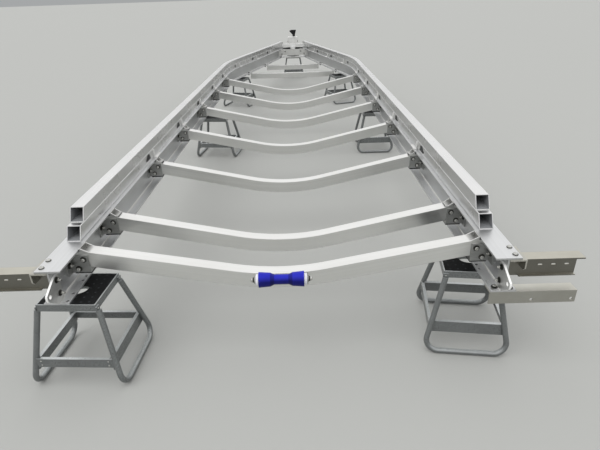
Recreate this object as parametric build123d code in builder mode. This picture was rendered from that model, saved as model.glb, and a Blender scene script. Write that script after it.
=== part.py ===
"""Bare aluminium boat-trailer chassis on step stools: millimetres, +X right, +Y to the coupling, +Z up."""

from build123d import *
from math import atan, cos, radians, sin, tan
import os

os.makedirs("parts", exist_ok=True)

# Main sizes. Y is measured from REAR, the rear ends of the two main beams.
REAR = -4436.0
BEAM_TOP = 553.0
BEAM_H = 158.0
BEAM_W = 104.0
FLANGE_T = 8.0
WEB_T = 7.0
RAIL_X = 907.0
BEND_Y = 5369.0
BEND_ANGLE = 13.0
BEND_TANGENT = 350.0
ARM_END_Y = 8330.0
BOTTOM = BEAM_TOP - BEAM_H
FLANGE_UNDER = BEAM_TOP - FLANGE_T
WEB_IN = RAIL_X - WEB_T / 2
WEB_OUT = RAIL_X + WEB_T / 2
BOLT_R = 6.5

bend_radius = BEND_TANGENT / tan(radians(BEND_ANGLE / 2))
arm_length = (ARM_END_Y - BEND_Y) / cos(radians(BEND_ANGLE)) - BEND_TANGENT


def save(piece, name):
    """Labels one piece and writes its file."""
    piece.label = name
    export_step(piece, "parts/" + name + ".step")


def save_pair(piece, name):
    """Writes a right-hand piece and its mirror image."""
    save(piece, name + "_right")
    save(piece.mirror(Plane.YZ), name + "_left")


def arm_x(y):
    """X of the beam's centre line at a distance y ahead of the rear end."""
    return RAIL_X - max(0.0, y - BEND_Y) * tan(radians(BEND_ANGLE))


def rail_line(start_y):
    """Straight run, bend and converging arm of one beam's centre line."""
    straight = Line((RAIL_X, REAR + start_y, 0), (RAIL_X, REAR + BEND_Y - BEND_TANGENT, 0))
    bend = JernArc(start=straight @ 1, tangent=straight % 1, radius=bend_radius, arc_size=BEND_ANGLE)
    Line(bend @ 1, (bend @ 1) + (bend % 1) * arm_length)


# Main beams: an I-section swept along the bent line, with bolt holes at the rear.
# Columns: X and Y of the holes in the bottom flange, then Y and drop of the hole in the web.
FLANGE_HOLES = [(868, 14), (868, 68), (868, 168), (868, 204)]
WEB_HOLE = (107, 83)
WEB_HOLE_R = 4.0
with BuildPart() as beam_right:
    with BuildLine():
        rail_line(0)
    with BuildSketch(Plane(origin=(RAIL_X, REAR, 0), x_dir=(1, 0, 0), z_dir=(0, -1, 0))):
        with Locations((0, BEAM_TOP - FLANGE_T / 2), (0, BOTTOM + FLANGE_T / 2)):
            Rectangle(BEAM_W, FLANGE_T)
        with Locations((0, BEAM_TOP - BEAM_H / 2)):
            Rectangle(WEB_T, BEAM_H - FLANGE_T)
    sweep()
    with Locations(*[(hole_x, REAR + hole_y, BOTTOM + FLANGE_T / 2) for hole_x, hole_y in FLANGE_HOLES]):
        Cylinder(BOLT_R, 3 * FLANGE_T, mode=Mode.SUBTRACT)
    with Locations((RAIL_X, REAR + WEB_HOLE[0], BEAM_TOP - WEB_HOLE[1])):
        Cylinder(WEB_HOLE_R, 3 * WEB_T, rotation=(0, 90, 0), mode=Mode.SUBTRACT)

save_pair(beam_right.part, "beam")

# Two square tubes stacked on each beam's top flange, their rear ends cut on a slope.
TUBE = 62.0
TUBE_WALL = 4.0
TUBE_CORNER = 5.0
TUBE_INNER_CORNER = 1.5
TUBE_BEVEL = 35.0
# Columns: name, Y of the rear end, height of the underside.
TUBES = [
    ("lower_tube", 250, BEAM_TOP),
    ("upper_tube", 317, BEAM_TOP + TUBE),
]

for name, start_y, base_z in TUBES:
    with BuildPart() as stack_tube:
        with BuildLine():
            rail_line(start_y)
        with BuildSketch(Plane(origin=(RAIL_X, REAR + start_y, 0), x_dir=(1, 0, 0), z_dir=(0, -1, 0))):
            with Locations((0, base_z + TUBE / 2)):
                RectangleRounded(TUBE, TUBE, TUBE_CORNER)
                bore = TUBE - 2 * TUBE_WALL
                RectangleRounded(bore, bore, TUBE_INNER_CORNER, mode=Mode.SUBTRACT)
        sweep()
        with BuildSketch(Plane.YZ.offset(RAIL_X - TUBE)):
            with BuildLine():
                end_y, top_z = REAR + start_y, base_z + TUBE
                Polyline((end_y - 1, base_z - 1), (end_y - 1, top_z + 1), (end_y + TUBE_BEVEL, top_z + 1),
                         (end_y, base_z), close=True)
            make_face()
        extrude(amount=2 * TUBE, mode=Mode.SUBTRACT)
    save_pair(stack_tube.part, name)

# Cross members 1 to 7: straight sloping arms and a large curve at the centre.
BAR_D = 62.0
BAR_H = 70.0
BAR_WALL = 4.0
BAR_RADIUS = 1100.0
BAR_FIT_X = 854.0
SADDLE_T = 5.0
BAR_END_X = WEB_IN - SADDLE_T
NOTCH_X = 812.0
HORN_X = 849.0
HORN_TOP = 7.0
NOTCH_FLOOR = 15.0
END_PLATE_H = 45.0
# Columns: name, Y of the near face, drop of the top at the flange's inner edge, slope of the arms.
BENT_BARS = [
    ("cross_member_1", 170, 5, 0.188),
    ("cross_member_2", 533, 11, 0.216),
    ("cross_member_3", 1368, 17, 0.226),
    ("cross_member_4", 2207, 17, 0.226),
    ("cross_member_5", 3047, 17, 0.226),
    ("cross_member_6", 3886, 17, 0.226),
    ("cross_member_7", 4750, 17, 0.226),
]
# Columns: depth of the upper line, depth of the lower line, width, mode.
BAR_SKINS = [
    (0, BAR_H, BAR_D, Mode.ADD),
    (BAR_WALL, BAR_H - BAR_WALL, BAR_D - 2 * BAR_WALL, Mode.SUBTRACT),
]


def bar_section(end_drop, slope, depth):
    """Lowest point, knee and end of the line that lies at a depth under the bar's top."""
    angle = atan(slope)
    low = BEAM_TOP - end_drop - slope * BAR_FIT_X + BAR_RADIUS * (1 / cos(angle) - 1) - depth
    half = (BAR_RADIUS + depth) * sin(angle)
    knee = low + (BAR_RADIUS + depth) * (1 - cos(angle))
    end = knee + slope * (BAR_END_X - half)
    return low, half, knee, end


for name, place, end_drop, slope in BENT_BARS:
    middle = REAR + place + BAR_D / 2
    notch = BAR_END_X - NOTCH_X
    notch_top = BEAM_TOP - end_drop + slope * (NOTCH_X - BAR_FIT_X)
    with BuildPart() as bar:
        for upper, lower, width, mode in BAR_SKINS:
            low_t, half_t, knee_t, end_t = bar_section(end_drop, slope, upper)
            low_b, half_b, knee_b, end_b = bar_section(end_drop, slope, lower)
            with BuildSketch(Plane.XZ.offset(-middle)):
                with BuildLine():
                    Polyline((-BAR_END_X, end_b), (-BAR_END_X, end_t), (-half_t, knee_t))
                    ThreePointArc((-half_t, knee_t), (0, low_t), (half_t, knee_t))
                    Polyline((half_t, knee_t), (BAR_END_X, end_t), (BAR_END_X, end_b), (half_b, knee_b))
                    ThreePointArc((half_b, knee_b), (0, low_b), (-half_b, knee_b))
                    Line((-half_b, knee_b), (-BAR_END_X, end_b))
                make_face()
            extrude(amount=width / 2, both=True, mode=mode)
        # The top wall steps down at the ends, which also clears the beams' flanges.
        for side in (-1, 1):
            with Locations((side * (BAR_END_X - notch / 2), middle, BEAM_TOP)):
                Box(notch, BAR_D - 2 * BAR_WALL, BAR_H, mode=Mode.SUBTRACT)
            with Locations((side * (BAR_END_X - notch / 2), middle, BEAM_TOP - NOTCH_FLOOR)):
                Box(notch, BAR_D, BAR_WALL)
            with Locations((side * BAR_END_X, middle, BEAM_TOP)):
                Box(2 * (BAR_END_X - HORN_X), BAR_D + 2, 2 * FLANGE_T + 2, mode=Mode.SUBTRACT)
            # The side walls rise beside the flange and a small plate closes them.
            for wall in (-1, 1):
                with BuildSketch(Plane.XZ.offset(-middle - wall * (BAR_D - BAR_WALL) / 2)):
                    with BuildLine():
                        root_z = notch_top - BAR_WALL
                        Polyline((side * NOTCH_X, notch_top), (side * HORN_X, BEAM_TOP + HORN_TOP),
                                 (side * HORN_X, root_z), (side * NOTCH_X, root_z), close=True)
                    make_face()
                extrude(amount=BAR_WALL / 2, both=True)
            with Locations((side * (HORN_X - BAR_WALL / 2), middle, BEAM_TOP + HORN_TOP - END_PLATE_H / 2)):
                Box(BAR_WALL, BAR_D - 2, END_PLATE_H)
    save(bar.part, name)

# Cross members 8 and 9: straight, hung between the converging arms on plates under their flanges.
HANGER_T = 10.0
HANGER_IN = 30.0
HANGER_OUT = 70.0
for name, place in (("cross_member_8", 6155), ("cross_member_9", 7055)):
    middle = REAR + place + BAR_D / 2
    reach = arm_x(place + BAR_D / 2) - BEAM_W / 2 / cos(radians(BEND_ANGLE))
    with BuildPart() as straight_bar:
        with Locations((0, middle, BOTTOM - HANGER_T - BAR_H / 2)):
            Box(2 * reach, BAR_D, BAR_H)
            Box(2 * reach + 2, BAR_D - 2 * BAR_WALL, BAR_H - 2 * BAR_WALL, mode=Mode.SUBTRACT)
        for side in (-1, 1):
            with Locations((side * (reach + (HANGER_OUT - HANGER_IN) / 2), middle, BOTTOM - HANGER_T / 2)):
                Box(HANGER_IN + HANGER_OUT, BAR_D, HANGER_T)
    save(straight_bar.part, name)

# Saddles on the webs: a back plate with an ear on each side, two cheeks and a wedge under the bar.
SADDLE_OUT = 80.0
SADDLE_EAR = 42.0
SADDLE_TOP = BEAM_TOP - 24.0
SADDLE_LOW = BEAM_TOP - 107.0
FOOT_H = 10.0
FOOT_INSET = 4.0
saddle_mid = (SADDLE_TOP + SADDLE_LOW) / 2
saddle_h = SADDLE_TOP - SADDLE_LOW
saddle_in = BAR_END_X - SADDLE_OUT
with BuildPart() as saddles:
    for name, place, end_drop, slope in BENT_BARS:
        middle = REAR + place + BAR_D / 2
        end_b = bar_section(end_drop, slope, BAR_H)[3]
        with Locations((WEB_IN - SADDLE_T / 2, middle, saddle_mid)):
            Box(SADDLE_T, BAR_D + 2 * SADDLE_EAR, saddle_h)
        for cheek_side in (-1, 1):
            cheek_y = middle + cheek_side * (BAR_D + SADDLE_T) / 2
            with Locations((BAR_END_X - SADDLE_OUT / 2, cheek_y, saddle_mid)):
                Box(SADDLE_OUT, SADDLE_T, saddle_h)
        with BuildSketch(Plane.XZ.offset(-middle)):
            with BuildLine():
                Polyline((saddle_in, SADDLE_LOW), (BAR_END_X, SADDLE_LOW), (BAR_END_X, end_b),
                         (saddle_in, end_b - slope * SADDLE_OUT), close=True)
            make_face()
        extrude(amount=BAR_D / 2, both=True)

with BuildPart() as saddle_feet:
    for name, place, end_drop, slope in BENT_BARS:
        for side in (-1, 1):
            foot_x = side * (BAR_END_X - SADDLE_OUT / 2)
            with Locations((foot_x, REAR + place + BAR_D / 2, SADDLE_LOW - FOOT_H / 2)):
                Box(SADDLE_OUT - 2 * FOOT_INSET, BAR_D - 2 * FOOT_INSET, FOOT_H)

save_pair(saddles.part, "saddles")
save(saddle_feet.part, "saddle_feet")

# Keel roller on its pin, in front of the rear cross member.
ROLLER_X = 7.0
ROLLER_Y = 110.0
ROLLER_Z = BEAM_TOP - 137.0
ROLLER_HALF = 96.5
CAP_T = 11.5
CAP_R = 25.0
PIN_R = 8.0
PIN_HALF = 125.0
RUNNING_FIT = 0.06
EAR_T = 5.0
EAR_R = 15.0
EAR_GAP = 1.5
BACK_Y = 56.0
BACK_DROP = 36.0
BACK_H = 56.0
# Columns: distance from the middle, radius of the roller there.
ROLLER_PROFILE = [(30, 21.5), (47, 29.5), (ROLLER_HALF, 33.5), (ROLLER_HALF, PIN_R + RUNNING_FIT)]
ear_in = ROLLER_HALF + CAP_T + EAR_GAP

with BuildPart() as keel_roller:
    with BuildSketch(Plane(origin=(ROLLER_X, REAR + ROLLER_Y, ROLLER_Z), x_dir=(1, 0, 0), z_dir=(0, -1, 0))):
        with BuildLine():
            left_half = [(-across, radius) for across, radius in reversed(ROLLER_PROFILE)]
            Polyline(*left_half, *ROLLER_PROFILE, close=True)
        make_face()
    revolve(axis=Axis((ROLLER_X, REAR + ROLLER_Y, ROLLER_Z), (1, 0, 0)))

roller_plane = Plane(origin=(ROLLER_X, REAR + ROLLER_Y, ROLLER_Z), x_dir=(0, 1, 0), z_dir=(1, 0, 0))
with BuildPart() as roller_caps:
    with BuildSketch(roller_plane.offset(-ROLLER_HALF - CAP_T), roller_plane.offset(ROLLER_HALF)):
        Circle(CAP_R)
        Circle(PIN_R + RUNNING_FIT, mode=Mode.SUBTRACT)
    extrude(amount=CAP_T)

with BuildPart() as roller_bracket:
    with BuildSketch(roller_plane.offset(-PIN_HALF)):
        Circle(PIN_R)
    extrude(amount=2 * PIN_HALF)
    with BuildSketch(roller_plane.offset(-ear_in - EAR_T), roller_plane.offset(ear_in)):
        Circle(EAR_R)
        with Locations((BACK_Y, -BACK_DROP)):
            Rectangle(EAR_T + 1, BACK_H)
        make_hull()
    extrude(amount=EAR_T)
    with Locations((ROLLER_X, REAR + ROLLER_Y + BACK_Y + EAR_T / 2 - 1, ROLLER_Z - BACK_DROP)):
        Box(2 * (ear_in + EAR_T), EAR_T, BACK_H)

save(keel_roller.part, "keel_roller")
save(roller_caps.part, "roller_caps")
save(roller_bracket.part, "roller_bracket")

# Tie-down plates on the inside of each web's rear end, standing on the bottom flange.
PLATE_T = 9.0
TIE_HOLE_R = 9.0
TIE_HOLE = (-44, 90)
# Columns: Y, drop under the beam's top.
PLATE_EDGE = [(-5, BEAM_H - FLANGE_T), (47, BEAM_H - FLANGE_T), (47, 37), (15, 37), (-62, 76)]
PLATE_NOSE = [(-62, 76), (-63, 97), (-48, 114)]
with BuildPart() as tie_down_plate:
    with BuildSketch(Plane.YZ.offset(WEB_IN - PLATE_T)):
        with BuildLine():
            Polyline(*[(REAR + y, BEAM_TOP - drop) for y, drop in PLATE_EDGE])
            ThreePointArc(*[(REAR + y, BEAM_TOP - drop) for y, drop in PLATE_NOSE])
            Line(*[(REAR + y, BEAM_TOP - drop) for y, drop in (PLATE_NOSE[-1], PLATE_EDGE[0])])
        make_face()
        with Locations((REAR + TIE_HOLE[0], BEAM_TOP - TIE_HOLE[1])):
            Circle(TIE_HOLE_R, mode=Mode.SUBTRACT)
    extrude(amount=PLATE_T)

save_pair(tie_down_plate.part, "tie_down_plate")

# Lamp-arm brackets: a plate under the top flange with a turned-down leg.
BRACKET_T = 6.0
BRACKET_X = 977.0
BRACKET_Y = (-4.0, 111.0)
ARM_X = 1206.0
ARM_Y = (2.0, 57.0)
ARM_T = 5.0
LEG_DROP = 60.0
LEG_CORNER = 12.0
arm_back = REAR + ARM_Y[1] - ARM_T
with BuildPart() as light_arm_bracket:
    plate_z = FLANGE_UNDER - BRACKET_T / 2
    with Locations(((WEB_OUT + BRACKET_X) / 2, REAR + sum(BRACKET_Y) / 2, plate_z)):
        Box(BRACKET_X - WEB_OUT, BRACKET_Y[1] - BRACKET_Y[0], BRACKET_T)
    with BuildSketch(Plane.YZ.offset(BRACKET_X - BRACKET_T)):
        with BuildLine():
            leg_y, leg_z = REAR + BRACKET_Y[0], BEAM_TOP - LEG_DROP
            Polyline((leg_y, plate_z), (arm_back, plate_z), (arm_back, leg_z), (leg_y + LEG_CORNER, leg_z),
                     (leg_y, leg_z + LEG_CORNER), close=True)
        make_face()
    extrude(amount=BRACKET_T)

save_pair(light_arm_bracket.part, "light_arm_bracket")

# Upper outriggers: thin channels open to the rear, with three slots in the web.
ARM_LOW = BEAM_TOP - 112.0
LIP = 18.0
LIP_T = 4.0
SLOT_X = (1062, 1116, 1170)
SLOT_DROP = 64.0
SLOT_LENGTH = 19.0
SLOT_WIDTH = 6.0
with BuildPart() as upper_outrigger:
    under = FLANGE_UNDER - BRACKET_T
    with Locations(((WEB_OUT + ARM_X) / 2, REAR + ARM_Y[1] - ARM_T / 2, (under + ARM_LOW) / 2)):
        Box(ARM_X - WEB_OUT, ARM_T, under - ARM_LOW)
    with Locations(((BRACKET_X + ARM_X) / 2, REAR + sum(ARM_Y) / 2, under + BRACKET_T / 2)):
        Box(ARM_X - BRACKET_X, ARM_Y[1] - ARM_Y[0], BRACKET_T)
    with Locations(((BRACKET_X + ARM_X) / 2, REAR + ARM_Y[1] - LIP / 2, ARM_LOW + LIP_T / 2)):
        Box(ARM_X - BRACKET_X, LIP, LIP_T)
    with BuildSketch(Plane.XZ.offset(-REAR - ARM_Y[1] - 1)):
        with Locations(*[(slot_x, BEAM_TOP - SLOT_DROP) for slot_x in SLOT_X]):
            SlotOverall(SLOT_LENGTH, SLOT_WIDTH)
    extrude(amount=ARM_T + 2, mode=Mode.SUBTRACT)

save_pair(upper_outrigger.part, "upper_outrigger")

# Lower outrigger, on the right side only: an angle under the bottom flange.
LOWER_X = (853.0, 1206.0)
LOWER_D = 54.0
LOWER_H = 57.0
LOWER_HOLES = [(1027, 40), (1189, 40)]
with BuildPart() as lower_outrigger:
    with Locations((sum(LOWER_X) / 2, REAR + LOWER_D / 2, BOTTOM - ARM_T / 2)):
        Box(LOWER_X[1] - LOWER_X[0], LOWER_D, ARM_T)
    with Locations((sum(LOWER_X) / 2, REAR + ARM_T / 2, BOTTOM - LOWER_H / 2)):
        Box(LOWER_X[1] - LOWER_X[0], ARM_T, LOWER_H)
    with BuildSketch(Plane.XZ.offset(-REAR + 1)):
        with Locations(*[(hole_x, BOTTOM - drop) for hole_x, drop in LOWER_HOLES]):
            Circle(BOLT_R)
    extrude(amount=-ARM_T - 2, mode=Mode.SUBTRACT)

save(lower_outrigger.part, "lower_outrigger_right")

# Nose: a closing plate between the webs, a floor plate between the bottom flanges, and a head tube.
NOSE_Y = 8070.0
NOSE_T = 8.0
NOSE_TOP_D = 60.0
NOSE_FLOOR_D = 230.0
NOSE_GAP = 38.0
NOSE_GAP_INSET = 18.0
DRAWBAR_W = 85.0
DRAWBAR_TOP = BEAM_TOP + 31.0
DRAWBAR_H = 100.0
DRAWBAR_WALL = 5.0
DRAWBAR_END_Y = 8700.0
HEAD_Y = 8250.0
HEAD_T = 52.0
HEAD_WALL = 4.0
# Columns: far Y, half-width of the beam there, bottom z, height.
NOSE_PLATES = [
    (NOSE_Y + NOSE_T, WEB_T / 2, BOTTOM + FLANGE_T, BEAM_H - 2 * FLANGE_T),
    (NOSE_Y + NOSE_TOP_D, BEAM_W / 2, FLANGE_UNDER, FLANGE_T),
    (NOSE_Y + NOSE_FLOOR_D, BEAM_W / 2, BOTTOM, FLANGE_T),
]
arm_cosine = cos(radians(BEND_ANGLE))


def trapezoid(y0, y1, half_width):
    """Plate outline between the converging arms, clear of beams of the given half-width."""
    near, far = arm_x(y0) - half_width / arm_cosine, arm_x(y1) - half_width / arm_cosine
    Polyline((-near, REAR + y0), (near, REAR + y0), (far, REAR + y1), (-far, REAR + y1), close=True)


with BuildPart() as nose_plate:
    for far_y, beam_half, base, height in NOSE_PLATES:
        with BuildSketch(Plane.XY.offset(base)):
            with BuildLine():
                trapezoid(NOSE_Y, far_y, beam_half)
            make_face()
        extrude(amount=height)
    with Locations((0, REAR + NOSE_Y + NOSE_T + DRAWBAR_W, BEAM_TOP)):
        Box(DRAWBAR_W, 2 * DRAWBAR_W, DRAWBAR_W, mode=Mode.SUBTRACT)
    # A low gap runs along the foot of the closing plate.
    with Locations((0, REAR + NOSE_Y, BOTTOM + FLANGE_T + NOSE_GAP / 2)):
        Box(2 * (arm_x(NOSE_Y) - NOSE_GAP_INSET), 4 * NOSE_T, NOSE_GAP, mode=Mode.SUBTRACT)

with BuildPart() as drawbar:
    length = DRAWBAR_END_Y - NOSE_Y - NOSE_T
    with Locations((0, REAR + NOSE_Y + NOSE_T + length / 2, DRAWBAR_TOP - DRAWBAR_H / 2)):
        Box(DRAWBAR_W, length, DRAWBAR_H)
        Box(DRAWBAR_W - 2 * DRAWBAR_WALL, length + 2, DRAWBAR_H - 2 * DRAWBAR_WALL, mode=Mode.SUBTRACT)

with BuildPart() as head_tube:
    with BuildSketch(Plane.XY.offset(DRAWBAR_TOP)):
        with BuildLine():
            trapezoid(HEAD_Y - HEAD_T / 2, HEAD_Y + HEAD_T / 2, TUBE / 2)
        make_face()
    extrude(amount=HEAD_T)
    with Locations((0, REAR + HEAD_Y, DRAWBAR_TOP + HEAD_T / 2)):
        Box(2 * RAIL_X, HEAD_T - 2 * HEAD_WALL, HEAD_T - 2 * HEAD_WALL, mode=Mode.SUBTRACT)

save(nose_plate.part, "nose_plate")
save(drawbar.part, "drawbar")
save(head_tube.part, "head_tube")

# Coupling: a body on the drawbar, a head with the ball socket in front, and an upright handle.
BODY_Y = (8400.0, 8640.0)
BODY_TOP = BEAM_TOP + 189.0
BODY_HALF = 95.0
BASE_W = 110.0
BASE_H = 46.0
HEAD_BALL_Y = 8905.0
HEAD_R = 46.0
HEAD_H = 80.0
HEAD_DROP = 19.0
HEAD_TAPER = 4.0
DRAW_TUBE_R = 23.0
SOCKET_R = 25.5
SOCKET_DEPTH = 40.0
HANDLE_X = (0.0, 49.0)
HANDLE_Y = 8560.0
PIVOT_Z = BODY_TOP + 14.0
PIVOT_R = 6.0
NECK_R = 9.0
NECK_H = 40.0
LUG_T = 8.0
LUG_R = 14.0
SIDE_GAP = 1.5
GRIP_HALF = 17.0
# Columns: X, height over the pivot.
GRIP_EDGE = [(0, 22), (49, 22), (71, 104), (66, 112), (-27, 112), (-66, 94), (-48, 74)]
lug_left = HANDLE_X[0] - SIDE_GAP - LUG_T
pivot_plane = Plane(origin=(0, REAR + HANDLE_Y, PIVOT_Z), x_dir=(0, 1, 0), z_dir=(1, 0, 0))
with BuildPart() as coupling_body:
    with Locations((0, REAR + (BODY_Y[0] + DRAWBAR_END_Y) / 2, DRAWBAR_TOP + BASE_H / 2)):
        Box(BASE_W, DRAWBAR_END_Y - BODY_Y[0], BASE_H)
    with Locations((0, REAR + sum(BODY_Y) / 2, (DRAWBAR_TOP + BASE_H + BODY_TOP) / 2)):
        Box(2 * BODY_HALF, BODY_Y[1] - BODY_Y[0], BODY_TOP - DRAWBAR_TOP - BASE_H)
    with BuildSketch(pivot_plane.offset(lug_left), pivot_plane.offset(HANDLE_X[1] + SIDE_GAP)):
        Circle(LUG_R)
        with Locations((0, -LUG_R / 2)):
            Rectangle(2 * LUG_R, LUG_R)
    extrude(amount=LUG_T)
    with BuildSketch(pivot_plane.offset(lug_left)):
        Circle(PIVOT_R)
    extrude(amount=HANDLE_X[1] - HANDLE_X[0] + 2 * (SIDE_GAP + LUG_T))

with BuildPart() as coupling_head:
    with Locations((0, REAR + (DRAWBAR_END_Y + HEAD_BALL_Y) / 2, DRAWBAR_TOP + BASE_H / 2)):
        Cylinder(DRAW_TUBE_R, HEAD_BALL_Y - DRAWBAR_END_Y, rotation=(90, 0, 0))
    with BuildSketch(Plane.XY.offset(DRAWBAR_TOP - HEAD_DROP)):
        with Locations((0, REAR + HEAD_BALL_Y)):
            Circle(HEAD_R)
    extrude(amount=HEAD_H, taper=HEAD_TAPER)
    with BuildSketch(Plane.XY.offset(DRAWBAR_TOP - HEAD_DROP)):
        with Locations((0, REAR + HEAD_BALL_Y)):
            Circle(SOCKET_R)
    extrude(amount=SOCKET_DEPTH, mode=Mode.SUBTRACT)

with BuildPart() as coupling_handle:
    with BuildSketch(pivot_plane.offset(HANDLE_X[0])):
        Circle(NECK_R)
        with Locations((0, NECK_H / 2)):
            Rectangle(2 * NECK_R, NECK_H)
        Circle(PIVOT_R + RUNNING_FIT, mode=Mode.SUBTRACT)
    extrude(amount=HANDLE_X[1] - HANDLE_X[0])
    with BuildSketch(Plane.XZ.offset(-REAR - HANDLE_Y)):
        with BuildLine():
            Polyline(*[(x, PIVOT_Z + rise) for x, rise in GRIP_EDGE], close=True)
        make_face()
    extrude(amount=GRIP_HALF, both=True)

save(coupling_body.part, "coupling_body")
save(coupling_head.part, "coupling_head")
save(coupling_handle.part, "coupling_handle")

# Step stools that the chassis stands on: two tube hoops, a ring of braces, a tray and its mat.
HOOP_R = 12.5
TRAY = (251.0, 243.0)
TRAY_H = 32.0
RIM_T = 5.0
MAT_T = 20.0
HAND_HOLE_R = 44.0
HOOP_TOP = (130.0, 112.0, BOTTOM - TRAY_H + 2)
HOOP_FOOT = (197.0, 187.0, HOOP_R)
HOOP_CORNER = 55.0
TONGUE_T = 5.0
TONGUE_H = 22.0
BRACE_T = 4.0
# Columns: plane's distance from the centre, half-length, low z, high z, depth of the top lip.
LONG_BRACE = (163.5, 170.0, 96.0, 153.0, 14.0)
CROSS_BRACE = (168.0, 163.5, 108.0, 151.0, 12.0)

with BuildPart() as stool:
    for side in (-1, 1):
        with BuildLine() as hoop:
            FilletPolyline((side * HOOP_TOP[0], -HOOP_TOP[1], HOOP_TOP[2]),
                           (side * HOOP_FOOT[0], -HOOP_FOOT[1], HOOP_FOOT[2]),
                           (side * HOOP_FOOT[0], HOOP_FOOT[1], HOOP_FOOT[2]),
                           (side * HOOP_TOP[0], HOOP_TOP[1], HOOP_TOP[2]), radius=HOOP_CORNER)
        with BuildSketch(Plane(origin=hoop.line @ 0, z_dir=hoop.line % 0)):
            Circle(HOOP_R)
        sweep()
    with Locations((0, 0, BOTTOM - TRAY_H / 2)):
        Box(TRAY[0], TRAY[1], TRAY_H)
    # The tubes' flattened ends lie on the tray's walls.
    for side in (-1, 1):
        tongue_x = side * (TRAY[0] + TONGUE_T) / 2
        tongue_z = BOTTOM - TRAY_H + TONGUE_H / 2
        with Locations((tongue_x, -HOOP_TOP[1], tongue_z), (tongue_x, HOOP_TOP[1], tongue_z)):
            Box(TONGUE_T, 2 * HOOP_R, TONGUE_H)
        offset, half, low, high, lip = LONG_BRACE
        with Locations((side * offset, 0, (low + high) / 2)):
            Box(BRACE_T, 2 * half, high - low)
        with Locations((side * (offset - lip / 2), 0, high - BRACE_T / 2)):
            Box(lip, 2 * (half - lip), BRACE_T)
        offset, half, low, high, lip = CROSS_BRACE
        with Locations((0, side * offset, (low + high) / 2)):
            Box(2 * half, BRACE_T, high - low)
        with Locations((0, side * (offset - lip / 2), high - BRACE_T / 2)):
            Box(2 * (half - lip), lip, BRACE_T)
    with Locations((0, 0, BOTTOM - MAT_T / 2)):
        Box(TRAY[0] - 2 * RIM_T, TRAY[1] - 2 * RIM_T, MAT_T, mode=Mode.SUBTRACT)
        Cylinder(HAND_HOLE_R, 4 * MAT_T, mode=Mode.SUBTRACT)

with BuildPart() as mat:
    with Locations((0, 0, BOTTOM - MAT_T / 2)):
        Box(TRAY[0] - 2 * RIM_T, TRAY[1] - 2 * RIM_T, MAT_T)
        Cylinder(HAND_HOLE_R, 2 * MAT_T, mode=Mode.SUBTRACT)

# Columns: X, Y of the centre, turn of the floor bars from the Y axis.
STOOLS = [
    (-867, 118, -3),
    (854, 277, 82),
    (-759, 3277, -7),
    (871, 3307, 90),
    (-812, 5725, -16),
    (727, 5749, 107),
    (0, 8360, 0),
]
mats = []
for number, (stool_x, stool_y, angle) in enumerate(STOOLS, start=1):
    place = Location((stool_x, REAR + stool_y, 0), (0, 0, angle))
    save(stool.part.moved(place), "stool_" + str(number))
    mats.append(mat.part.moved(place))

save(Compound(children=mats), "stool_mats")
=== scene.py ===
# %% [markdown]
# # A boat trailer's bare chassis
# This file dresses a imported CAD model: a long aluminium chassis that stands on step stools, with no
# axles fitted. The frame gives every solid its real place, in metres, with +Y towards the coupling.
# We load it first.

# %% Load the frame
import bpy
import math
from mathutils import Matrix, Vector


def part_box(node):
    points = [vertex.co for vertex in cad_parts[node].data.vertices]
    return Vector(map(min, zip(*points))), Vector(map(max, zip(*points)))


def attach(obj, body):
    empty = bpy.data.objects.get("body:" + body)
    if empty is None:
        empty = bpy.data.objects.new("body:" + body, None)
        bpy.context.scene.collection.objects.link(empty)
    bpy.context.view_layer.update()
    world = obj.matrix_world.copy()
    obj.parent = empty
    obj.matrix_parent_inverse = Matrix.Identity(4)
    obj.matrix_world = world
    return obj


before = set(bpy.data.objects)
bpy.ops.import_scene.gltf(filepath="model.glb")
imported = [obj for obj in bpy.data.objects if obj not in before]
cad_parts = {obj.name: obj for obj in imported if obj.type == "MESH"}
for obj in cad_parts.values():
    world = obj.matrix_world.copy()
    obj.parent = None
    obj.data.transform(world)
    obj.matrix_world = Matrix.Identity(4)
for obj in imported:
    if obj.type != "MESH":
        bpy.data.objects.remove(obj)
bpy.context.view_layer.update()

# %% [markdown]
# ## Real sizes
# A few driving sizes come from the frame's own nodes. Small parts are placed in millimetres from
# the rear end and the top of the main beams, the way a fitter would measure them. Each beam carries
# square tubes over its web. Beams and tubes run straight at first, and then bend in to the nose.

# %% Driving sizes
MM = 0.001
beam_low, beam_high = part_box("beam_right")
REAR = beam_low.y
BEAM_TOP = beam_high.z
BEAM_BOTTOM = beam_low.z
# Millimetres from the centre line: a web's middle and outer face, and the inner faces of a
# saddle's ear and of a tie-down plate. Then a tube's width, and where the bend's corner lies.
WEB = 907
WEB_OUTSIDE = 910.5
SADDLE_FACE = 898.5
PLATE_FACE = 894.5
TUBE = 62
BEND = 5369
BEND_START = REAR + BEND * MM
BEND_ANGLE = math.radians(13)
BEND_SLOPE = math.tan(BEND_ANGLE)


def spot(x, y, z):
    """A point from millimetres: across, ahead of the rear end, and above the beams' top."""
    return Vector((x * MM, REAR + y * MM, BEAM_TOP + z * MM))


print("rear", REAR, "beam top", BEAM_TOP, "beam bottom", BEAM_BOTTOM)

# %% [markdown]
# ## The camera
# The photograph was taken from behind the trailer, 1.5 m above the floor, looking down its length.
# Lines that are parallel on the real thing gave the lens and the tilt, and the camera's place is
# measured from the beams' rear end.

# %% The camera
PHOTO_WIDTH = 600
FOCAL_PIXELS = 465.1
PITCH, HEADING, ROLL = math.radians(26.34), math.radians(0.50), math.radians(1.95)
EYE = spot(108, -1561, 945)

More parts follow.
